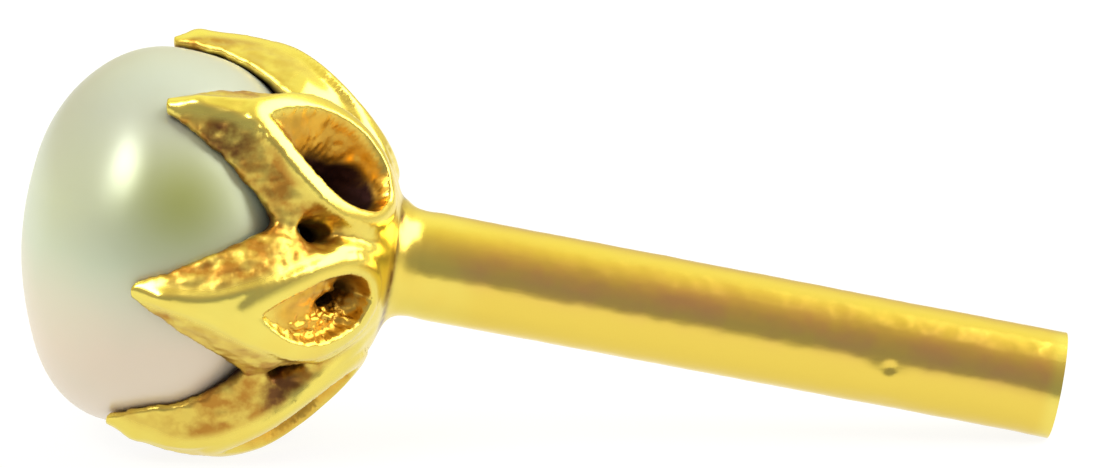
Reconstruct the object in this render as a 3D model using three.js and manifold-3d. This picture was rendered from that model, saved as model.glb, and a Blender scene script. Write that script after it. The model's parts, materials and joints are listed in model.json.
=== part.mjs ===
// Nose stud: a button pearl held in a cup of six pierced leaf claws, soldered to a straight post.
// Sizes are in millimetres and degrees. The stud lies on the floor at z = 0, with +Z up.
import * as THREE from "three";
import { mergeGeometries, mergeVertices } from "three/addons/utils/BufferGeometryUtils.js";
import Module from "manifold-3d";

const wasm = await Module();
wasm.setup();

// In the stud's own frame +Y runs from the post to the pearl, and the head's centre is at 0.

// Pearl: deeper and squarer behind its widest girth than in front of it. A fullness of 2 is an
// ellipse, and more fills out the shoulders.
const pearlRadius = 1.84;
const pearlGirth = 0.54;
const pearlFront = 1.235;
const pearlFrontFullness = 2.1;
const pearlBack = 1.54;
const pearlBackFullness = 2.4;
const pearlSegments = 42;
const pearlRings = 10;

// Claws in order round the head, cut and bent by hand: turn is the angle from the top, windowEnd
// the angle from the post to the point of the claw's window and windowHalf half of its width. At
// its bottom the window narrows to a hole, which holeEnd and holeHalf give in the same way.
const claws = [
  { turn: -149.5, windowEnd: 75, windowHalf: 14, holeEnd: 58, holeHalf: 6.5 },
  { turn: -92, windowEnd: 73, windowHalf: 13.5, holeEnd: 54, holeHalf: 4.5 },
  { turn: -34.5, windowEnd: 80.5, windowHalf: 17.5, holeEnd: 62, holeHalf: 11.5 },
  { turn: 25.5, windowEnd: 77, windowHalf: 15.5, holeEnd: 60, holeHalf: 8.5 },
  { turn: 88, windowEnd: 76, windowHalf: 15, holeEnd: 58, holeHalf: 7.5 },
  { turn: 149.5, windowEnd: 75, windowHalf: 14.5, holeEnd: 58, holeHalf: 6.5 },
];
const tipPolar = 107.8;
const tipHalf = 2.2;
const notchPolar = 68.5;
const notchFlare = 0.82;
const windowStart = 31.5;
const windowTaper = 1;
const rimWidth = 0.14;
const rimRounding = 0.05;

// A small hole goes through the valley below each notch.
const valleyStart = 48;
const valleyEnd = 62;
const valleyHalf = 3.8;

// Sections of a claw by the angle from the post. Ridge, edge and inside are distances from the
// head's centre to the outer face, to the thin edge at the notch and to the seat inside the cup.
// Face is the share of the claw's sector that the outer face takes before it slopes to the edge.
const sections = [
  { polar: 0, ridge: 1.96, edge: 1.96, inside: 1.06, face: 0.77 },
  { polar: 18, ridge: 1.97, edge: 1.97, inside: 1.09, face: 0.79 },
  { polar: 32, ridge: 1.99, edge: 1.96, inside: 1.18, face: 0.82 },
  { polar: 44, ridge: 2, edge: 1.89, inside: 1.31, face: 0.86 },
  { polar: 53, ridge: 2.02, edge: 1.83, inside: 1.42, face: 0.7 },
  { polar: 63, ridge: 2.06, edge: 1.785, inside: 1.54, face: 0.46 },
  { polar: 75, ridge: 2.1, edge: 1.775, inside: 1.66, face: 0.26 },
  { polar: 85, ridge: 2.11, edge: 1.825, inside: 1.75, face: 0.11 },
  { polar: 97, ridge: 2.09, edge: 1.93, inside: 1.858, face: 0.05 },
  { polar: 108, ridge: 2.045, edge: 2.03, inside: 1.97, face: 0.04 },
];

// Spans of stations from the post to the tip, and columns of the outer face and of its slope.
const stationSpans = { base: 4, lower: 4, valley: 7, web: 2, upper: 3, tip: 9 };
const faceColumns = [0, 0.3, 1];
const slopeColumns = [0.5, 1];

// The base of the cup leans towards the post, from one distance behind the head's centre to another.
const baseLean = 0.1;
const leanStart = 0.9;
const leanFull = 1.8;

// Post, soldered a little off the head's centre line.
const postOffset = 0.2;
const postRoot = -1.78;
const postEnd = -8.53;
const postFootRadius = 0.53;
const postEndRadius = 0.515;
const postEdge = 0.04;
const postSegments = 36;
const collarRadius = 0.61;
const collarTop = -1.92;
const collarEnd = -2.1;
const collarRings = 3;

const weld = 1e-4;
const steepestTilt = 30;
const tiltSteps = 40;

const goldColour = 0xe3b53a;
const pearlColour = 0xd9dcc6;

const radians = THREE.MathUtils.degToRad;
const lerp = THREE.MathUtils.lerp;

const sectionCurve = new THREE.CubicInterpolant(
  sections.map((row) => row.polar),
  sections.flatMap((row) => [row.ridge, row.edge, row.inside, row.face]),
  4,
);

function sectionAt(polar) {
  const [ridge, edge, inside, face] = sectionCurve.evaluate(polar);
  return { ridge, edge, inside, face };
}

const dropWidth = (along) => Math.sqrt(along) * (1 - along) ** windowTaper;
const dropWidest = 1 / (1 + 2 * windowTaper);

function polarPoint(distance, polar, turn) {
  const radius = distance * Math.sin(radians(polar));
  const behind = distance * Math.cos(radians(polar));
  const lean = baseLean * THREE.MathUtils.smoothstep(behind, leanStart, leanFull);
  return new THREE.Vector3(
    radius * Math.sin(radians(turn)),
    -behind,
    radius * Math.cos(radians(turn)) + lean,
  );
}

// A grid of faces through pointAt(column, row).
function patch(columnCount, rowCount, pointAt) {
  const geometry = new THREE.PlaneGeometry(1, 1, columnCount, rowCount);
  const position = geometry.getAttribute("position");
  for (let row = 0; row <= rowCount; row++) {
    for (let column = 0; column <= columnCount; column++) {
      const point = pointAt(column, row);
      position.setXYZ(row * (columnCount + 1) + column, point.x, point.y, point.z);
    }
  }
  return geometry;
}

// One half of a claw: its outer and inner faces and the walls of its hole, notch, window and tip.
// Side is the way it runs from the claw's middle, spread the angle to the middle of the notch.
function halfClaw({ turn, windowEnd, windowHalf, holeEnd, holeHalf }, side, spread) {
  const stations = [0];
  const run = (from, to, count) => {
    for (let step = 1; step <= count; step++) stations.push(lerp(from, to, step / count));
  };
  run(0, windowStart, stationSpans.base);
  run(windowStart, valleyStart, stationSpans.lower);
  run(valleyStart, valleyEnd, stationSpans.valley);
  run(valleyEnd, notchPolar, stationSpans.web);
  run(notchPolar, windowEnd, stationSpans.upper);
  run(windowEnd, tipPolar, stationSpans.tip);

  // Half of the window: a drop, round towards the post and pointed towards the tip.
  const dropAt = (polar, end, half) => {
    const along = THREE.MathUtils.clamp((polar - windowStart) / (end - windowStart), 0, 1);
    return (half * dropWidth(along)) / dropWidth(dropWidest);
  };
  const windowAt = (polar) => dropAt(polar, windowEnd, windowHalf);
  const windowHoleAt = (polar) => dropAt(polar, holeEnd, holeHalf);
  // Half of the claw: full below the notch but for the valley's hole, narrow at the tip.
  const halfAt = (polar) => {
    const along = Math.max(0, (polar - notchPolar) / (tipPolar - notchPolar));
    const fromHole = (2 * polar - valleyStart - valleyEnd) / (valleyEnd - valleyStart);
    const hole = valleyHalf * Math.sqrt(Math.max(0, 1 - fromHole ** 2));
    return lerp(spread, tipHalf, along ** notchFlare) - hole;
  };
  const outerPoint = (polar, column) => {
    const { ridge, edge, face } = sectionAt(polar);
    const window = windowAt(polar);
    const rim = window > 0 ? THREE.MathUtils.radToDeg(rimWidth / (ridge * Math.sin(radians(polar)))) : 0;
    const faceHalf = Math.max(face * spread, window + rim);
    if (column < faceColumns.length) {
      const sunk = column === 0 ? (rimRounding * window) / windowHalf : 0;
      return polarPoint(ridge - sunk, polar, turn + side * lerp(window, faceHalf, faceColumns[column]));
    }
    const down = slopeColumns[column - faceColumns.length];
    return polarPoint(lerp(ridge, edge, down), polar, turn + side * lerp(faceHalf, halfAt(polar), down));
  };
  const innerPoint = (polar, across) => {
    const shift = lerp(windowHoleAt(polar), halfAt(polar), across);
    return polarPoint(sectionAt(polar).inside, polar, turn + side * shift);
  };
  const windowFloor = (polar) => {
    const { ridge, inside } = sectionAt(polar);
    const rise = Math.max(0, (polar - holeEnd) / (windowEnd - holeEnd));
    return polarPoint(lerp(inside, ridge, rise), polar, turn + side * windowHoleAt(polar));
  };

  const last = faceColumns.length + slopeColumns.length - 1;
  const skinPoint = (polar, column, inner) =>
    inner ? innerPoint(polar, column / last) : outerPoint(polar, column);
  const order = (index, count, forward) => (forward ? index : count - index);
  const skin = (inner) =>
    patch(last, stations.length - 1, (column, row) =>
      skinPoint(stations[row], order(column, last, inner === side > 0), inner));
  const within = (from, to) => stations.filter((polar) => polar >= from && polar <= to);
  const notchWall = (rows) =>
    patch(1, rows.length - 1, (depth, row) =>
      skinPoint(rows[row], last, order(depth, 1, side < 0) === 1));
  const windowRows = within(windowStart, windowEnd);
  const windowWall = patch(1, windowRows.length - 1, (depth, row) =>
    order(depth, 1, side > 0) === 1 ? windowFloor(windowRows[row]) : outerPoint(windowRows[row], 0));
  const tip = patch(last, 1, (column, row) =>
    skinPoint(tipPolar, order(column, last, side < 0), row === 1));
  return mergeGeometries([
    skin(false),
    skin(true),
    notchWall(within(valleyStart, valleyEnd)),
    notchWall(within(notchPolar, tipPolar)),
    windowWall,
    tip,
  ]);
}

// A closed solid from a geometry whose seams may still be open.
function solidOf(geometry) {
  geometry.deleteAttribute("normal");
  geometry.deleteAttribute("uv");
  const closed = mergeVertices(geometry, weld);
  return new wasm.Manifold(new wasm.Mesh({
    numProp: 3,
    vertProperties: closed.getAttribute("position").array,
    triVerts: new Uint32Array(closed.index.array),
  }));
}

function geometryOf(solid) {
  const { vertProperties, triVerts } = solid.getMesh();
  return new THREE.BufferGeometry()
    .setAttribute("position", new THREE.BufferAttribute(vertProperties, 3))
    .setIndex(new THREE.BufferAttribute(triVerts, 1));
}

function cupSolid() {
  const halves = [];
  for (const [index, claw] of claws.entries()) {
    const next = claws[(index + 1) % claws.length];
    const spread = THREE.MathUtils.euclideanModulo(next.turn - claw.turn, 360) / 2;
    halves.push(halfClaw(claw, 1, spread), halfClaw(next, -1, spread));
  }
  return solidOf(mergeGeometries(halves));
}

function postSolid() {
  const fillet = new THREE.QuadraticBezierCurve(
    new THREE.Vector2(postFootRadius, collarEnd),
    new THREE.Vector2(postFootRadius, collarTop),
    new THREE.Vector2(collarRadius, collarTop),
  );
  const profile = [
    new THREE.Vector2(0, postEnd),
    new THREE.Vector2(postEndRadius - postEdge, postEnd),
    new THREE.Vector2(postEndRadius, postEnd + postEdge),
    ...fillet.getPoints(collarRings),
    new THREE.Vector2(collarRadius, postRoot),
    new THREE.Vector2(0, postRoot),
  ];
  return solidOf(new THREE.LatheGeometry(profile, postSegments).translate(0, 0, postOffset));
}

function pearlGeometry() {
  const profile = [];
  for (let ring = -pearlRings; ring <= pearlRings; ring++) {
    const angle = radians((Math.abs(ring) / pearlRings) * 90);
    const depth = ring < 0 ? -pearlBack : pearlFront;
    const bend = 2 / (ring < 0 ? pearlBackFullness : pearlFrontFullness);
    const radius = Math.abs(ring) === pearlRings ? 0 : pearlRadius * Math.cos(angle) ** bend;
    profile.push(new THREE.Vector2(radius, pearlGirth + depth * Math.sin(angle) ** bend));
  }
  return new THREE.LatheGeometry(profile, pearlSegments);
}

const gold = new THREE.MeshStandardMaterial({ color: goldColour, roughness: 0.22, metalness: 1 });
const nacre = new THREE.MeshStandardMaterial({ color: pearlColour, roughness: 0.25, metalness: 0 });

const setting = new THREE.Mesh(geometryOf(cupSolid().add(postSolid())), gold);
setting.name = "claw_setting";
const pearl = new THREE.Mesh(pearlGeometry(), nacre);
pearl.name = "pearl";

// Heights of the setting's lowest head point and lowest end point when the head is tipped up.
function lowestPoints(tilt) {
  const position = setting.geometry.getAttribute("position");
  let head = Infinity;
  let end = Infinity;
  for (let i = 0; i < position.count; i++) {
    const height = position.getY(i) * Math.sin(tilt) + position.getZ(i) * Math.cos(tilt);
    if (position.getY(i) > postEnd / 2) head = Math.min(head, height);
    else end = Math.min(end, height);
  }
  return { head, end };
}

// The tilt at which the two lowest claws and the post's end touch the floor together.
function restTilt() {
  let low = 0;
  let high = radians(steepestTilt);
  for (let step = 0; step < tiltSteps; step++) {
    const middle = (low + high) / 2;
    const { head, end } = lowestPoints(middle);
    if (head < end) low = middle;
    else high = middle;
  }
  return low;
}

// The pearl faces -X, and a notch between two claws faces the floor.
const stud = new THREE.Group();
stud.rotation.set(0, restTilt(), Math.PI / 2);
stud.add(setting, pearl);

const group = new THREE.Group();
group.name = "nose_stud";
group.add(stud);

const box = new THREE.Box3().setFromObject(group, true);
const middle = box.getCenter(new THREE.Vector3());
stud.position.set(-middle.x, -middle.y, -box.min.z);

export default group;
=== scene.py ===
import json
import math

import bpy
import numpy as np
from mathutils import Matrix, Vector, kdtree


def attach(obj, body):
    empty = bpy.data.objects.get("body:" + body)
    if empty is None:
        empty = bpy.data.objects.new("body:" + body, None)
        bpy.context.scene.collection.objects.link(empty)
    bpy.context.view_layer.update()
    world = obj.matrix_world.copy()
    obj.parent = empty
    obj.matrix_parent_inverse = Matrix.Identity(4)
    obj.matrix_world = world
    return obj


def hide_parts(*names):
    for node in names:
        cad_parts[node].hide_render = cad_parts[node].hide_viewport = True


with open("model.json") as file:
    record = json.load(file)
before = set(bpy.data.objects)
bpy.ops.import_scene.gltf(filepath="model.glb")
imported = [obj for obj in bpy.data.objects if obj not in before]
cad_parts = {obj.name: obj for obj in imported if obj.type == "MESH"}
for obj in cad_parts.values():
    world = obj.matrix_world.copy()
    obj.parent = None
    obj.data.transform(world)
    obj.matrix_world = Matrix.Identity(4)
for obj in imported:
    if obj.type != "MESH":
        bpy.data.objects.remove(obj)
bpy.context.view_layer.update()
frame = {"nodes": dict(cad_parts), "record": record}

# Pieces are modelled in millimetres, a thousand times life size, and shrunk at the end
enlarge = 1000.0

# The stud's own line, from the mount at the end of the post
stud = {
    "length": 8.53,            # from the middle of the head to the end of the post
    "postOffset": 0.2,         # the post is soldered this far above the middle of the head
    "lean": 0.1,               # and the base of the cup leans as far as this towards it
    "leanSpan": (0.9, 1.8),    # mm behind the middle of the head
}
postMount = frame["record"]["mounts"][0]
postWay = Vector(postMount["axis"]).normalized()
acrossWay = Vector((0.0, 1.0, 0.0))
upWay = postWay.cross(acrossWay)
postTip = Vector(postMount["pos_m"]) * enlarge
headCentre = postTip - postWay * stud["length"] - upWay * stud["postOffset"]


def deselectAll():
    bpy.ops.object.select_all(action="DESELECT")


def pickAlone(piece):
    deselectAll()
    piece.select_set(True)
    bpy.context.view_layer.objects.active = piece


def startEdit(piece, action):
    pickAlone(piece)
    bpy.ops.object.mode_set(mode="EDIT")
    bpy.ops.mesh.select_all(action=action)


def endEdit():
    bpy.ops.object.mode_set(mode="OBJECT")


def applyModifier(piece, kind, **settings):
    pickAlone(piece)
    modifier = piece.modifiers.new(kind.lower(), kind)
    for name, value in settings.items():
        setattr(modifier, name, value)
    bpy.ops.object.modifier_apply(modifier=modifier.name)


def resizeMesh(piece, factor):
    startEdit(piece, "SELECT")
    bpy.ops.transform.resize(value=(factor, factor, factor), center_override=(0, 0, 0))
    endEdit()


def readPoints(piece):
    points = np.empty(len(piece.data.vertices) * 3, np.float32)
    piece.data.vertices.foreach_get("co", points)
    return points.reshape(-1, 3).astype(float)


def writePoints(piece, points):
    piece.data.vertices.foreach_set("co", points.astype(np.float32).ravel())
    piece.data.update()


# Points after a few rounds of moving each one halfway to the middle of its neighbours
def relaxed(piece, points, rounds):
    ends = np.empty(len(piece.data.edges) * 2, np.int32)
    piece.data.edges.foreach_get("vertices", ends)
    first, second = ends[0::2], ends[1::2]
    count = np.bincount(ends, minlength=len(points))[:, None]
    soft = points.copy()
    for done in range(rounds):
        total = np.empty_like(soft)
        for axis in range(3):
            total[:, axis] = np.bincount(first, soft[second, axis], len(points))
            total[:, axis] += np.bincount(second, soft[first, axis], len(points))
        soft = (soft + total / count) / 2
    return soft


def softStep(low, high, value):
    share = np.clip((value - low) / (high - low), 0, 1)
    return share * share * (3 - 2 * share)


def hump(value, centre, width):
    return np.exp(-((value - centre) / width) ** 2)


# Moves of points, each by its own amount along its own way
def moves(amount, ways):
    return amount[:, None] * ways


def weightGroup(piece, name, weights, least=0.01):
    group = piece.vertex_groups.new(name=name)
    for index in np.nonzero(weights > least)[0]:
        group.add([int(index)], float(weights[index]), "REPLACE")


def storeAttribute(piece, name, values):
    attribute = piece.data.attributes.new(name, "FLOAT", "POINT")
    attribute.data.foreach_set("value", values.astype(np.float32))


# Cloudy relief in the mesh itself, where a group of points takes it
def roughen(piece, name, size, octaves, strength, group):
    texture = bpy.data.textures.new(name, "CLOUDS")
    texture.noise_scale = size
    texture.noise_depth = octaves
    applyModifier(piece, "DISPLACE", texture=texture, texture_coords="LOCAL", strength=strength,
                  mid_level=0.5, vertex_group=group)


def linear(hexColour):
    shades = [int(hexColour[i:i + 2], 16) / 255 for i in (1, 3, 5)]
    return tuple(s / 12.92 if s <= 0.04045 else ((s + 0.055) / 1.055) ** 2.4 for s in shades) + (1.0,)


def addNode(tree, kind, values=None, links=None, **settings):
    node = tree.nodes.new(kind)
    for name, value in settings.items():
        setattr(node, name, value)
    for socket, value in (values or {}).items():
        node.inputs[socket].default_value = value
    for socket, source in (links or {}).items():
        tree.links.new(source, node.inputs[socket])
    return node


# Where points lie on the stud: along the post's way, up and across from the head's middle,
# and, with the base's lean taken off, as angles from the post and round the head from the top
def studPlace(points):
    away = points - np.array(headCentre)
    along = away @ np.array(postWay)
    up = away @ np.array(upWay)
    across = away @ np.array(acrossWay)
    lean = stud["lean"] * softStep(*stud["leanSpan"], along)
    away = away - np.outer(lean, np.array(upWay))
    distance = np.maximum(np.sqrt((away ** 2).sum(1)), 1e-6)
    return {
        "along": along, "up": up, "across": across, "distance": distance,
        "outward": away / distance[:, None],
        "polar": np.degrees(np.arccos(np.clip(along / distance, -1, 1))),
        "turn": np.degrees(np.arctan2(across, up - lean)),
    }


def headWay(polar, turn):
    polar, turn = math.radians(polar), math.radians(turn)
    side = upWay * math.cos(turn) + acrossWay * math.sin(turn)
    return postWay * math.cos(polar) + side * math.sin(polar)


# How many mm points are from a spot on the head, measured at one radius
def awayFrom(place, polar, turn, radius):
    return np.linalg.norm(place["outward"] - np.array(headWay(polar, turn)), axis=1) * radius


# Camera at the photograph's angle
cameraLook = {
    "elevation": 15.0,         # degrees
    "distance": 90.0,          # mm, as the lens and the aim
    "lens": 300.0,
    "aim": (0.064, 0.02, 2.03),
    "clip": (0.002, 3.0),      # metres
}


def placeCamera():
    tilt = math.radians(cameraLook["elevation"])
    aim = Vector(cameraLook["aim"]) / enlarge
    back = Vector((0, -math.cos(tilt), math.sin(tilt)))
    bpy.ops.object.camera_add(location=aim + back * cameraLook["distance"] / enlarge)
    camera = bpy.context.object
    camera.name = "camera"
    camera.rotation_euler = (-back).to_track_quat("-Z", "Y").to_euler()
    camera.data.lens = cameraLook["lens"]
    camera.data.clip_start, camera.data.clip_end = cameraLook["clip"]
    bpy.context.scene.camera = camera


placeCamera()
print("camera placed")


# Cast 18 carat gold with a drawn wire post: bright where the file and the burnisher went,
# grainy and brown where the casting skin was left in the notches
goldLook = {
    "bright": "#EAD868",
    "warm": "#E6C452",
    "wire": "#E6CA57",
    "stain": "#E2AC6C",
    "slope": "#B58234",
    "wall": "#E6B443",
    # tarnish for the seam and the dull spots, and painted shade on the windows' walls
    "tarnishAndShade": "#6E4A2A",
    # painted shade for the windows' depths and the notches
    "hollowShade": "#3A2422",
    # size in mm and detail of each kind of patch, the noise where it starts and is full, least and most share
    "patches": {
        "warm": (0.7, 2.0, 0.4, 0.75, 0.0, 0.6),
        "skin": (0.2, 4.0, 0.36, 0.62, 0.25, 1.0),
        "stain": (0.45, 4.0, 0.4, 0.66, 0.3, 0.85),
    },
    "patchy": {"slope": "skin", "tarnishAndShade": "skin", "stain": "stain"},
    "layers": ("wire", "stain", "slope", "wall", "tarnishAndShade", "hollowShade"),     # from the metal outwards
    "grain": 0.05,             # mm
    "drawLine": (1.6, 0.04),   # mm along and across the post
    "relief": (0.12, 0.004),   # strength, and height in mm
}


def goldMaterial():
    look = goldLook
    material = bpy.data.materials.new("cast yellow gold, filed and burnished")
    material.use_nodes = True
    tree = material.node_tree
    shader = tree.nodes["Principled BSDF"]
    place = addNode(tree, "ShaderNodeTexCoord")
    spot = place.outputs["Object"]

    # colour: warm clouds in the bright metal, a drawn wire, brown skin on the slopes, painted shade on the
    # windows' walls and darker painted shade in their depths and the notches
    patch = {}
    for name, (size, detail, low, high, least, most) in look["patches"].items():
        noise = addNode(tree, "ShaderNodeTexNoise", {"Scale": enlarge / size, "Detail": detail},
                        {"Vector": spot})
        bounds = {"From Min": low, "From Max": high, "To Min": least, "To Max": most}
        level = addNode(tree, "ShaderNodeMapRange", bounds, {"Value": noise.outputs["Fac"]})
        patch[name] = level.outputs["Result"]
    share = {}
    for name in look["layers"] + ("rough",):
        share[name] = addNode(tree, "ShaderNodeAttribute", attribute_name=name).outputs["Fac"]
    metal = addNode(tree, "ShaderNodeMix", {6: linear(look["bright"]), 7: linear(look["warm"])},
                    {"Factor": patch["warm"]}, data_type="RGBA")
    for name in look["layers"]:
        amount = share[name]
        if name in look["patchy"]:
            blotches = addNode(tree, "ShaderNodeMath", None, {0: amount, 1: patch[look["patchy"][name]]},
                               operation="MULTIPLY")
            amount = blotches.outputs[0]
        metal = addNode(tree, "ShaderNodeMix", {7: linear(look[name])},
                        {"Factor": amount, 6: metal.outputs[2]}, data_type="RGBA")
    tree.links.new(metal.outputs[2], shader.inputs["Base Color"])
    tree.links.new(share["rough"], shader.inputs["Roughness"])
    shader.inputs["Metallic"].default_value = 1.0

    # relief: casting grain all over, drawing lines along the post
    strength, height = look["relief"]
    bump = {"Strength": strength, "Distance": height / enlarge}
    grain = addNode(tree, "ShaderNodeTexNoise", {"Scale": enlarge / look["grain"], "Detail": 3.0},
                    {"Vector": spot})
    lean = math.atan2(postWay.z, postWay.x)
    turned = addNode(tree, "ShaderNodeMapping", {"Rotation": (0, lean, 0)}, {"Vector": spot})
    longWay, crossWay = (enlarge / size for size in look["drawLine"])
    stretched = addNode(tree, "ShaderNodeMapping", {"Scale": (longWay, crossWay, crossWay)},
                        {"Vector": turned.outputs["Vector"]})
    lines = addNode(tree, "ShaderNodeTexNoise", {"Scale": 1.0, "Detail": 2.0},
                    {"Vector": stretched.outputs["Vector"]})
    onWire = addNode(tree, "ShaderNodeMath", None, {0: lines.outputs["Fac"], 1: share["wire"]},
                     operation="MULTIPLY")
    relief = addNode(tree, "ShaderNodeBump", bump, {"Height": grain.outputs["Fac"]})
    relief = addNode(tree, "ShaderNodeBump", bump,
                     {"Height": onWire.outputs[0], "Normal": relief.outputs["Normal"]})
    tree.links.new(relief.outputs["Normal"], shader.inputs["Normal"])
    return material


# Gold setting: the cup of claws and its post, in mm and degrees
settingLook = {
    "merge": 0.0005,
    "voxel": 0.033,
    "smoothing": 4,
    # the claws' outer faces: mm from the middle of the head, by the angle from the post
    "outerPolar": (0, 18, 32, 44, 53, 63, 75, 85, 97, 108),
    "outer": (1.96, 1.97, 1.99, 2.0, 2.02, 2.06, 2.1, 2.11, 2.09, 2.045),
    "faceRadius": 2.08,        # where spots on the faces are measured
    "faceDepth": 0.3,          # what lies deeper is no longer face
    "cupEnd": 1.85,            # along from the middle of the head
    "neck": (1.7, 2.25, 0.9),  # along from, along to, and the most from the post's line
    # how much the ridges are drawn up again after smoothing, and the most that is drawn
    "crisp": (2.0, 0.014),
    "crispRounds": 10,
    # the plain base is made even this far out from the windows and this near to the post
    "evenEdge": (0.1, 0.2),
    "evenPolar": (70, 64),
    "evenRounds": 7,
    # each claw's turn, its window's point and half width, how deep the window is left and how much painted
    # shade darkens its depths;
    # one window's hole is drawn in towards a polar and turn, by a share
    "claws": (
        {"turn": -149.5, "point": 75, "half": 14, "left": 0.6, "shaded": 1.0},
        {"turn": -92, "point": 73, "half": 13.5, "left": 0.45, "shaded": 0.5, "hole": (41, -89, 0.45)},
        {"turn": -34.5, "point": 80.5, "half": 17.5, "left": 0.9, "shaded": 1.0},
        {"turn": 25.5, "point": 77, "half": 15.5, "left": 0.8, "shaded": 1.0},
        {"turn": 88, "point": 76, "half": 15, "left": 0.7, "shaded": 1.0},
        {"turn": 149.5, "point": 75, "half": 14.5, "left": 0.6, "shaded": 1.0},
    ),
    "clawHalf": 25,            # degrees round the head to either side of a claw
    "windowStart": 31.5,       # from the post
    "windowSteps": 90,
    "dropWidest": 0.385,       # of the drop's formula, so that the half widths come out true
    # inwards from a window's edge, where its filling starts and is full, and where the hole is drawn in
    "fillEdge": (0.0, -0.12),
    "holeEdge": (0.0, -0.08),
    "holeDepth": (0.06, 0.22),
    # a tip's angle from the post, half width and height of its bead, and how deep a face may lie to carry it
    "tip": (99.0, 0.11, 0.035, 0.12),
    # out from the window's edge, half width, height and crown of the flat rim, and the same depth for it
    "rim": (0.08, 0.11, 0.035, 0.014, 0.09),
    "reach": (25.5, 0.1, 0.3),           # turn of the longest claw, how much longer it is and from where
    "spread": (98, -141, 0.13, 0.3),     # polar and turn of a claw's wider edge, how much and from where
    "collarEnd": 2.1,          # along, where the wire of the post comes free
    "postRadius": (0.537, 0.525),      # there and at the end
    "postStart": 0.015,        # what is trued starts at this share of the wire
    "postCore": 0.4,           # and lies further out than this
    "cut": 0.06,               # how much of the wire's end is drawn out again with a square edge
    "cutKept": 0.12,           # and how much of it stays as sharp as it was cut
    "endFace": 0.001,          # points this near to the end lie on the cut
    "lastRounds": 2,           # of softening, past the cut
    # along the post, degrees up from its side, reach and height of two bruises and a pit
    "bruises": ((6.8, -22, 0.2, 0.034), (8.62, -26, 0.4, 0.035), (6.83, -1, 0.05, -0.026)),
    # how far below the outer face the rough skin and the windows' walls start and are full
    "slopeDepth": (0.03, 0.1),
    "wallDepth": (0.02, 0.1),
    "windowBlend": (0.02, -0.02),      # across a window's edge
    # how deep the dark painted shade starts in a window, by the angle from the post, over what depth, and in
    # a notch
    "hollowPolar": (32, 42, 50, 60, 75),
    "hollowDepth": (0.08, 0.17, 0.33, 0.42, 0.55),
    "hollowBlend": 0.12,
    "notchDepth": (0.3, 0.45),
    # polar, turn and reach of spots where skin was filed off, with the share, and of dull spots
    "filed": ((80, 8, 0.8, 0.55), (100, -145, 0.6, 0.6), (61, 2, 0.6, 1.0), (85, -110, 0.7, 0.6)),
    "tarnishAndShade": ((89, -43, 0.34), (83, 118, 0.3), (80, -3, 0.25), (58, -128, 0.32)),
    "spotCore": 0.4,           # share of its reach where a spot is full
    # painted shade: the share of the tarnish colour laid on the windows' walls
    "wallShade": 0.3,        # share of it in the windows
    "seam": (1.865, 0.03),     # place and half width of the dark line where the post is soldered on
    "wireStart": (2.15, 2.9),  # along, where the drawn surface begins
    "wireEnd": (0.03, 0.2),    # back from the cut
    "stainBand": (0.42, 0.34),     # middle and half width of the stains, by the rise to the wire's top
    "crumbTurn": ((-90, -98), (-125, -115)),   # from none to full at both sides of the crumbs
    # where it is, size and strength of the relief in the mesh
    "reliefOctaves": 2,
    "reliefs": (("slope", 0.17, 0.05), ("slope", 0.07, 0.022), ("wall", 0.1, 0.035), ("crumbs", 0.07, 0.1),
                ("wire", 0.5, 0.012), ("wire", 0.16, 0.005)),
    "roughness": {"wire": 0.17, "cup": 0.24, "slope": 0.38, "wall": 0.3, "hollowShade": 0.6},
}


# Degrees round the head from points to the middle of a claw
def turnFrom(place, claw):
    return np.abs((place["turn"] - claw["turn"] + 180) % 360 - 180)


# A window is a drop, round towards the post: its half width at a share of its length
def dropHalf(claw, share):
    return claw["half"] * np.sqrt(share) * (1 - share) / settingLook["dropWidest"]


# How far points are from the edge of the nearest window, less than nothing inside it
def windowEdge(place):
    look = settingLook
    start = look["windowStart"]
    ways = []
    inside = np.zeros(len(place["polar"]), bool)
    for claw in look["claws"]:
        length = claw["point"] - start
        for share in np.linspace(0, 1, look["windowSteps"]):
            half = dropHalf(claw, share)
            for turn in (claw["turn"] + half, claw["turn"] - half):
                ways.append(headWay(start + length * share, turn))
        share = np.clip((place["polar"] - start) / length, 0, 1)
        inside |= turnFrom(place, claw) < dropHalf(claw, share)
    tree = kdtree.KDTree(len(ways))
    for index, way in enumerate(ways):
        tree.insert(way, index)
    tree.balance()
    nearest = np.array([tree.find(way)[2] for way in place["outward"]]) * look["faceRadius"]
    return np.where(inside, -nearest, nearest)


# Where points lie on the wire of the post
def wirePlace(points):
    look = settingLook
    place = studPlace(points)
    rise = place["up"] - stud["postOffset"]
    radius = np.maximum(np.hypot(rise, place["across"]), 1e-6)
    sideways = np.outer(rise, np.array(upWay)) + np.outer(place["across"], np.array(acrossWay))
    fromEnd = stud["length"] - place["along"]
    span = 1 - fromEnd / (stud["length"] - look["collarEnd"])
    return {
        "radius": radius, "outward": sideways / radius[:, None], "rise": rise / radius, "fromEnd": fromEnd,
        "onPost": (span > look["postStart"]) & (radius > look["postCore"]),
        "trueRadius": np.interp(span, (0, 1), look["postRadius"]),
    }


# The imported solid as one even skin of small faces
def remeshedSetting():
    look = settingLook
    piece = bpy.data.objects.new("gold_setting", frame["nodes"]["claw_setting"].data.copy())
    bpy.context.scene.collection.objects.link(piece)
    piece.data.materials.clear()
    resizeMesh(piece, enlarge)
    startEdit(piece, "SELECT")
    bpy.ops.mesh.remove_doubles(threshold=look["merge"])
    endEdit()
    applyModifier(piece, "REMESH", mode="VOXEL", voxel_size=look["voxel"])
    applyModifier(piece, "SMOOTH", factor=0.5, iterations=look["smoothing"])
    return piece


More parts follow.
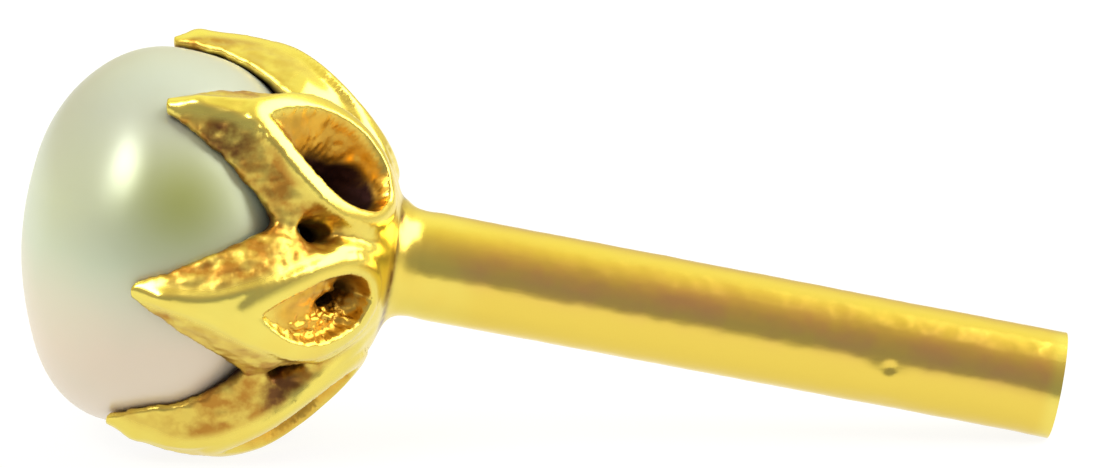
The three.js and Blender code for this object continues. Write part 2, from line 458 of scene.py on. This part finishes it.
# The post is trued on its own line, where the faceted wire was, and its end is cut square
def truePost(piece):
    look = settingLook
    points = readPoints(piece)
    wire = wirePlace(points)
    points += moves(wire["onPost"] * (wire["trueRadius"] - wire["radius"]), wire["outward"])
    writePoints(piece, points)
    startEdit(piece, "SELECT")
    bpy.ops.mesh.bisect(plane_co=postTip - postWay * look["cut"], plane_no=postWay, clear_outer=True,
                        use_fill=True)
    bpy.ops.mesh.extrude_region()
    bpy.ops.transform.translate(value=postWay * look["cut"])
    endEdit()


# Moves the cup's points and returns what the finish needs to know about them
def shapeCup(piece, points, wire):
    look = settingLook
    radius = look["faceRadius"]
    place = studPlace(points)
    edge = windowEdge(place)
    outer = np.interp(place["polar"], look["outerPolar"], look["outer"])
    depth = outer - place["distance"]
    onCup = place["along"] < look["cupEnd"]
    onFace = onCup & (depth < look["faceDepth"])
    neckStart, neckEnd, neckRadius = look["neck"]
    onNeck = (wire["radius"] < neckRadius) & (place["along"] > neckStart) & (place["along"] < neckEnd)

    # ridges drawn up to a crisp line, and an even base and neck
    sharper, most = look["crisp"]
    raised = ((points - relaxed(piece, points, look["crispRounds"])) * place["outward"]).sum(1)
    points += moves(np.where(onFace, np.clip(raised, 0, most) * sharper, 0), place["outward"])
    even = softStep(*look["evenEdge"], edge) * softStep(*look["evenPolar"], place["polar"])
    even = np.where(onNeck, 1, np.where(onCup, even, 0))
    points += moves(even, relaxed(piece, points, look["evenRounds"]) - points)

    # windows left as deep as each one was, and beads at the claw tips
    tipPolar, width, height, tipDepth = look["tip"]
    bead = np.zeros(len(points))
    windowShading = np.zeros(len(points))
    for claw in look["claws"]:
        bead += height * hump(awayFrom(place, tipPolar, claw["turn"], radius), 0, width)
        nearClaw = turnFrom(place, claw) < look["clawHalf"]
        windowShading[nearClaw] = claw["shaded"]
        fill = np.where(nearClaw & (depth > 0), (1 - claw["left"]) * depth, 0)
        fill = fill * softStep(*look["fillEdge"], edge)
        points += moves(np.where(onCup, fill, 0), place["outward"])
        depth = depth - fill
        if "hole" in claw:
            polar, turn, share = claw["hole"]
            deep = softStep(*look["holeDepth"], depth) * softStep(*look["holeEdge"], edge)
            inwards = np.array(headWay(polar, turn)) - place["outward"]
            points += moves(np.where(nearClaw & onCup, place["distance"] * share * deep, 0), inwards)
    points += moves(np.where(onFace & (depth < tipDepth), bead, 0), place["outward"])

    # rolled rims round the windows
    out, width, height, crown, rimDepth = look["rim"]
    place = studPlace(points)
    away = np.abs(edge - out) / width
    lift = np.maximum(outer + height - crown * away ** 2 - place["distance"], 0)
    points += moves(np.where(onFace & (away < 1) & (depth < rimDepth), lift, 0), place["outward"])

    # the top claw reaches further over the pearl, and one below is wider on the side of the viewer
    turn, longer, reach = look["reach"]
    away = awayFrom(place, tipPolar, turn, radius)
    points -= np.outer(longer * hump(away, 0, reach), np.array(postWay))
    polar, turn, wider, reach = look["spread"]
    away = awayFrom(place, polar, turn, radius)
    sideways = np.array(headWay(90, turn + 90))
    points += np.outer(np.where(onCup, wider * hump(away, 0, reach), 0), sideways)
    return {
        "place": place, "edge": edge, "depth": depth, "windowShading": windowShading,
        "onCup": onCup, "onNeck": onNeck,
    }


# Bruises on the side of the post, one with a pit in it
def bruisePost(points, wire):
    look = settingLook
    for along, lift, reach, height in look["bruises"]:
        side = upWay * math.sin(math.radians(lift)) - acrossWay * math.cos(math.radians(lift))
        bruise = headCentre + postWay * along + upWay * stud["postOffset"] + side * look["postRadius"][1]
        away = np.linalg.norm(points - np.array(bruise), axis=1)
        points += moves(wire["onPost"] * height * hump(away, 0, reach), wire["outward"])


# How much of each finish and of painted shade a point has: rough casting skin on the notch slopes, smoother
# walls in the windows with painted shade on them and darker painted shade deep inside, dull spots and seam,
# and the drawn wire with its stains
def goldShares(cup, wire):
    look = settingLook
    place, depth, onCup = cup["place"], cup["depth"], cup["onCup"]
    inWindow = softStep(*look["windowBlend"], cup["edge"])
    slope = np.where(onCup, softStep(*look["slopeDepth"], depth), 0) * (1 - inWindow)
    for polar, turn, reach, share in look["filed"]:
        away = awayFrom(place, polar, turn, look["faceRadius"])
        slope = slope * (1 - share * softStep(reach, reach * look["spotCore"], away))
    wall = np.where(onCup, softStep(*look["wallDepth"], depth), 0) * inWindow
    # painted shade: the deeper a point lies in a window or a notch, the darker its colour
    dark = np.interp(place["polar"], look["hollowPolar"], look["hollowDepth"])
    hollowShade = softStep(dark, dark + look["hollowBlend"], depth) * inWindow * cup["windowShading"]
    hollowShade = np.where(onCup, np.maximum(hollowShade, softStep(*look["notchDepth"], depth)), 0)
    seam = np.where(cup["onNeck"], hump(place["along"], *look["seam"]), 0)
    # painted shade on the windows' walls in the tarnish colour, with the real dark seam and dull spots
    tarnishAndShade = np.maximum(wall * look["wallShade"], seam)
    for polar, turn, reach in look["tarnishAndShade"]:
        away = awayFrom(place, polar, turn, look["faceRadius"])
        tarnishAndShade = np.maximum(tarnishAndShade, softStep(reach, reach * look["spotCore"], away) * slope)
    drawn = softStep(*look["wireEnd"], wire["fromEnd"]) * softStep(*look["wireStart"], place["along"])
    drawn = wire["onPost"] * drawn
    upper, lower = look["crumbTurn"]
    shares = {
        "slope": slope, "wall": wall, "hollowShade": hollowShade, "tarnishAndShade": tarnishAndShade, "wire": drawn,
        "stain": drawn * hump(wire["rise"], *look["stainBand"]),
        "crumbs": wall * softStep(*upper, place["turn"]) * softStep(*lower, place["turn"]),
    }
    roughness = look["roughness"]
    rough = np.where(place["along"] < look["collarEnd"], roughness["cup"], roughness["wire"])
    for name in ("slope", "wall", "hollowShade"):
        rough = rough + (roughness[name] - rough) * shares[name]
    shares["rough"] = rough
    return shares


# Smooth all over but for the edge of the cut end
def shadeSetting(piece, wire):
    startEdit(piece, "DESELECT")
    endEdit()
    bpy.ops.object.shade_smooth()
    piece.data.vertices.foreach_set("select", wire["fromEnd"] < settingLook["endFace"])
    bpy.ops.object.mode_set(mode="EDIT")
    bpy.ops.mesh.mark_sharp()
    endEdit()


def goldSetting():
    look = settingLook
    piece = remeshedSetting()
    truePost(piece)
    points = readPoints(piece)
    wire = wirePlace(points)
    cup = shapeCup(piece, points, wire)
    softened = relaxed(piece, points, look["lastRounds"])
    points = np.where((wire["fromEnd"] < look["cutKept"])[:, None], points, softened)
    bruisePost(points, wire)
    writePoints(piece, points)

    shares = goldShares(cup, wire)
    for group in ("slope", "wall", "wire", "crumbs"):
        weightGroup(piece, group, shares[group])
    for group, size, strength in look["reliefs"]:
        roughen(piece, "relief on the " + group, size, look["reliefOctaves"], strength, group)
    piece.vertex_groups.clear()
    for name in goldLook["layers"] + ("rough",):
        storeAttribute(piece, name, shares[name])
    shadeSetting(piece, wire)
    resizeMesh(piece, 1 / enlarge)
    piece.data.materials.append(goldMaterial())
    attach(piece, "root")
    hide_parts("claw_setting")
    print("gold setting:", len(piece.data.polygons), "faces")


goldSetting()


# Nacre: thin layers over the bead give a pale body with a soft deep gloss and clouds of green and rose
# overtone; rose low down and green higher up is painted reflection of the floor and the room, and a dark
# green-gold spot is painted reflection of the claws
pearlLook = {
    "segments": 128,
    "rings": 80,
    "radius": 1.845,
    "girth": 0.54,             # mm in front of the head's middle
    "front": (1.235, 2.1),     # depth and fullness of each half
    "back": (1.54, 2.4),
    "skinRadius": 1.9,         # mm, where spots on the bead are measured
    # polar, turn, height and reach of fuller and flatter places
    "bulges": ((116, 180, 0.05, 0.798), (150, 0, 0.05, 0.608), (150, 180, -0.07, 0.608)),
    "uneven": (1.1, 1, 0.03),  # size in mm, octaves and strength
    "free": (0.45, -0.3),      # mm along, where the claws end and the bare bead begins
    "green": "#C3CDB2",
    "rose": "#DDCEB6",
    "crown": "#B0B6AD",
    # the deep colour is a painted reflection of the gold claws and the dim room beside them
    "deep": "#989F5C",
    "paintedReflectionSpot": (99, -64, 0.62),       # polar, turn and reach
    "cloud": 1.4,              # mm
    # mm above the floor, where the painted reflection of the floor in rose gives way to that of the room in
    # green, and where the crown begins and is full
    "greenRise": (1.2, 2.5),
    "crownRise": (2.7, 3.5),
}


def nacreMaterial():
    look = pearlLook
    material = bpy.data.materials.new("pearl nacre, grown in layers, with painted reflections")
    material.use_nodes = True
    tree = material.node_tree
    shader = tree.nodes["Principled BSDF"]
    place = addNode(tree, "ShaderNodeTexCoord")
    clouds = addNode(tree, "ShaderNodeTexNoise", {"Scale": enlarge / look["cloud"], "Detail": 2.0},
                     {"Vector": place.outputs["Object"]})
    height = addNode(tree, "ShaderNodeSeparateXYZ", None, {0: place.outputs["Object"]})
    low, high = (rise / enlarge for rise in look["greenRise"])
    climb = addNode(tree, "ShaderNodeMapRange",
                    {"From Min": low, "From Max": high, "To Min": -0.5, "To Max": 0.75},
                    {"Value": height.outputs["Z"]})
    # painted reflection: rose low down and green higher up, broken by random clouds of real overtone
    overtoneAndReflection = addNode(tree, "ShaderNodeMath", None,
                       {0: climb.outputs["Result"], 1: clouds.outputs["Fac"]}, operation="ADD",
                       use_clamp=True)
    tone = addNode(tree, "ShaderNodeMix", {6: linear(look["rose"]), 7: linear(look["green"])},
                   {"Factor": overtoneAndReflection.outputs[0]}, data_type="RGBA")
    low, high = (rise / enlarge for rise in look["crownRise"])
    top = addNode(tree, "ShaderNodeMapRange", {"From Min": low, "From Max": high},
                  {"Value": height.outputs["Z"]})
    # painted reflection of the claws: a dark green-gold spot beside them
    deep = addNode(tree, "ShaderNodeAttribute", attribute_name="deep")
    for name, amount in (("crown", top.outputs["Result"]), ("deep", deep.outputs["Fac"])):
        tone = addNode(tree, "ShaderNodeMix", {7: linear(look[name])},
                       {"Factor": amount, 6: tone.outputs[2]}, data_type="RGBA")
    tree.links.new(tone.outputs[2], shader.inputs["Base Color"])
    shader.inputs["Metallic"].default_value = 0.35
    shader.inputs["Subsurface Weight"].default_value = 0.4
    shader.inputs["Subsurface Radius"].default_value = (1.0, 0.9, 0.7)
    shader.inputs["Subsurface Scale"].default_value = 0.0003
    shader.inputs["Roughness"].default_value = 0.38
    shader.inputs["IOR"].default_value = 1.53
    shader.inputs["Coat Weight"].default_value = 0.35
    shader.inputs["Coat Roughness"].default_value = 0.31
    shader.inputs["Coat IOR"].default_value = 1.53
    return material


# A button bead, flatter in front of the girth than behind it, with full shoulders
def buttonBead():
    look = pearlLook
    deselectAll()
    bpy.ops.mesh.primitive_uv_sphere_add(segments=look["segments"], ring_count=look["rings"], radius=1.0)
    piece = bpy.context.object
    piece.name = "pearl_bead"
    points = readPoints(piece)
    height = np.clip(points[:, 2], -1, 1)
    girth = np.sqrt(1 - height ** 2)
    for inFront, (depth, fullness) in ((True, look["front"]), (False, look["back"])):
        half = (height > 0) == inFront
        bend = 2 / fullness
        spread = look["radius"] * girth ** bend / np.maximum(girth, 1e-6)
        points[half, 2] = (depth * np.sign(height) * np.abs(height) ** bend)[half]
        points[half, :2] *= spread[half, None]
    writePoints(piece, points)
    turn = (-postWay).to_track_quat("Z", "Y").to_matrix().to_4x4()
    piece.matrix_world = Matrix.Translation(headCentre - postWay * look["girth"]) @ turn
    pickAlone(piece)
    bpy.ops.object.transform_apply(location=True, rotation=True, scale=True)
    return piece


def pearl():
    look = pearlLook
    piece = buttonBead()
    # one shoulder grew a little fuller, and the skin is never quite even
    points = readPoints(piece)
    place = studPlace(points)
    for polar, turn, height, reach in look["bulges"]:
        away = awayFrom(place, polar, turn, look["skinRadius"])
        points += moves(height * hump(away, 0, reach), place["outward"])
    writePoints(piece, points)
    weightGroup(piece, "free", softStep(*look["free"], place["along"]))
    roughen(piece, "uneven nacre", *look["uneven"], "free")
    piece.vertex_groups.clear()
    # painted reflection of the claws, stored as how much deep colour each point gets
    polar, turn, reach = look["paintedReflectionSpot"]
    storeAttribute(piece, "deep", hump(awayFrom(place, polar, turn, look["skinRadius"]), 0, reach))
    resizeMesh(piece, 1 / enlarge)
    bpy.ops.object.shade_smooth()
    piece.data.materials.append(nacreMaterial())
    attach(piece, "root")
    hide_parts("pearl")
    print("pearl:", len(piece.data.polygons), "faces")


pearl()


# White sheet under the stud that glows by itself, with painted shade dimming it towards the viewer's side on
# the right
floorLook = {
    "half": 0.6,               # metres
    "white": "#595959",
    "glow": (0.34, 0.88),      # from the viewer's side on the right to behind the stud
    "fadeWay": (-1.0, 1.0, 0.0),
    "fade": (-0.0165, -0.0062),        # metres that way, where the glow starts to grow and is full
}


def paperFloor():
    deselectAll()
    bpy.ops.mesh.primitive_plane_add(size=floorLook["half"] * 2)
    floor = bpy.context.object
    floor.name = "floor"
    material = bpy.data.materials.new("white sheet, glowing, with painted shade towards the viewer")
    material.use_nodes = True
    tree = material.node_tree
    shader = tree.nodes["Principled BSDF"]
    shader.inputs["Base Color"].default_value = linear(floorLook["white"])
    shader.inputs["Roughness"].default_value = 0.8
    shader.inputs["Emission Color"].default_value = (1, 1, 1, 1)
    place = addNode(tree, "ShaderNodeTexCoord")
    behind = addNode(tree, "ShaderNodeVectorMath", {1: floorLook["fadeWay"]}, {0: place.outputs["Object"]},
                     operation="DOT_PRODUCT")
    near, far = floorLook["fade"]
    shaded, full = floorLook["glow"]
    # painted shade: the glow fades from full behind the stud to dim on the viewer's side
    glow = addNode(tree, "ShaderNodeMapRange",
                   {"From Min": near, "From Max": far, "To Min": shaded, "To Max": full},
                   {"Value": behind.outputs["Value"]})
    tree.links.new(glow.outputs["Result"], shader.inputs["Emission Strength"])
    floor.data.materials.append(material)
    print("floor laid")


paperFloor()


# Soft light: a pale room that is dimmer on the viewer's side, a softbox above on the left
# and another on the right
lightLook = {
    "roomLean": (0.0, 0.6, 0.8),
    "roomSides": (0.35, 0.0, 0.0),
    "roomSteps": ((0.0, "#9899A5"), (0.32, "#9899A5"), (0.535, "#A59D9E"), (0.655, "#B3A79D"),
                  (0.765, "#C3B59D"), (0.865, "#D6CBA2"), (0.94, "#E7E1B1"), (1.0, "#FAFFDD")),
    "roomStrength": 1.25,
    "boxDistance": 140.0,      # mm
    # way, width, height and power of each softbox
    "boxes": (((-0.47, -0.38, 0.8), 78.0, 54.0, 0.115), ((0.79, 0.05, 0.61), 115.0, 150.0, 0.23)),
}


def paleRoom():
    look = lightLook
    world = bpy.data.worlds.new("room")
    bpy.context.scene.world = world
    world.use_nodes = True
    tree = world.node_tree
    way = addNode(tree, "ShaderNodeTexCoord").outputs["Generated"]
    lean = addNode(tree, "ShaderNodeVectorMath", {1: look["roomLean"]}, {0: way}, operation="DOT_PRODUCT")
    square = addNode(tree, "ShaderNodeVectorMath", None, {0: way, 1: way}, operation="MULTIPLY")
    sides = addNode(tree, "ShaderNodeVectorMath", {1: look["roomSides"]}, {0: square.outputs["Vector"]},
                    operation="DOT_PRODUCT")
    both = addNode(tree, "ShaderNodeMath", None, {0: lean.outputs["Value"], 1: sides.outputs["Value"]})
    share = addNode(tree, "ShaderNodeMapRange", {"From Min": -1.0, "From Max": 1.0},
                    {"Value": both.outputs[0]})
    ramp = addNode(tree, "ShaderNodeValToRGB", None, {"Fac": share.outputs["Result"]})
    while len(ramp.color_ramp.elements) < len(look["roomSteps"]):
        ramp.color_ramp.elements.new(0.5)
    for element, (position, colour) in zip(ramp.color_ramp.elements, look["roomSteps"]):
        element.position = position
        element.color = linear(colour)
    background = tree.nodes["Background"]
    tree.links.new(ramp.outputs["Color"], background.inputs["Color"])
    background.inputs["Strength"].default_value = look["roomStrength"]


def softBoxes():
    for way, width, height, power in lightLook["boxes"]:
        way = Vector(way).normalized()
        place = (headCentre + way * lightLook["boxDistance"]) / enlarge
        bpy.ops.object.light_add(type="AREA", location=place)
        box = bpy.context.object
        box.name = "softbox"
        box.rotation_euler = way.to_track_quat("Z", "Y").to_euler()
        box.data.shape = "RECTANGLE"
        box.data.size = width / enlarge
        box.data.size_y = height / enlarge
        box.data.energy = power


paleRoom()
softBoxes()
bpy.context.scene.view_settings.view_transform = "Standard"
print("light set")
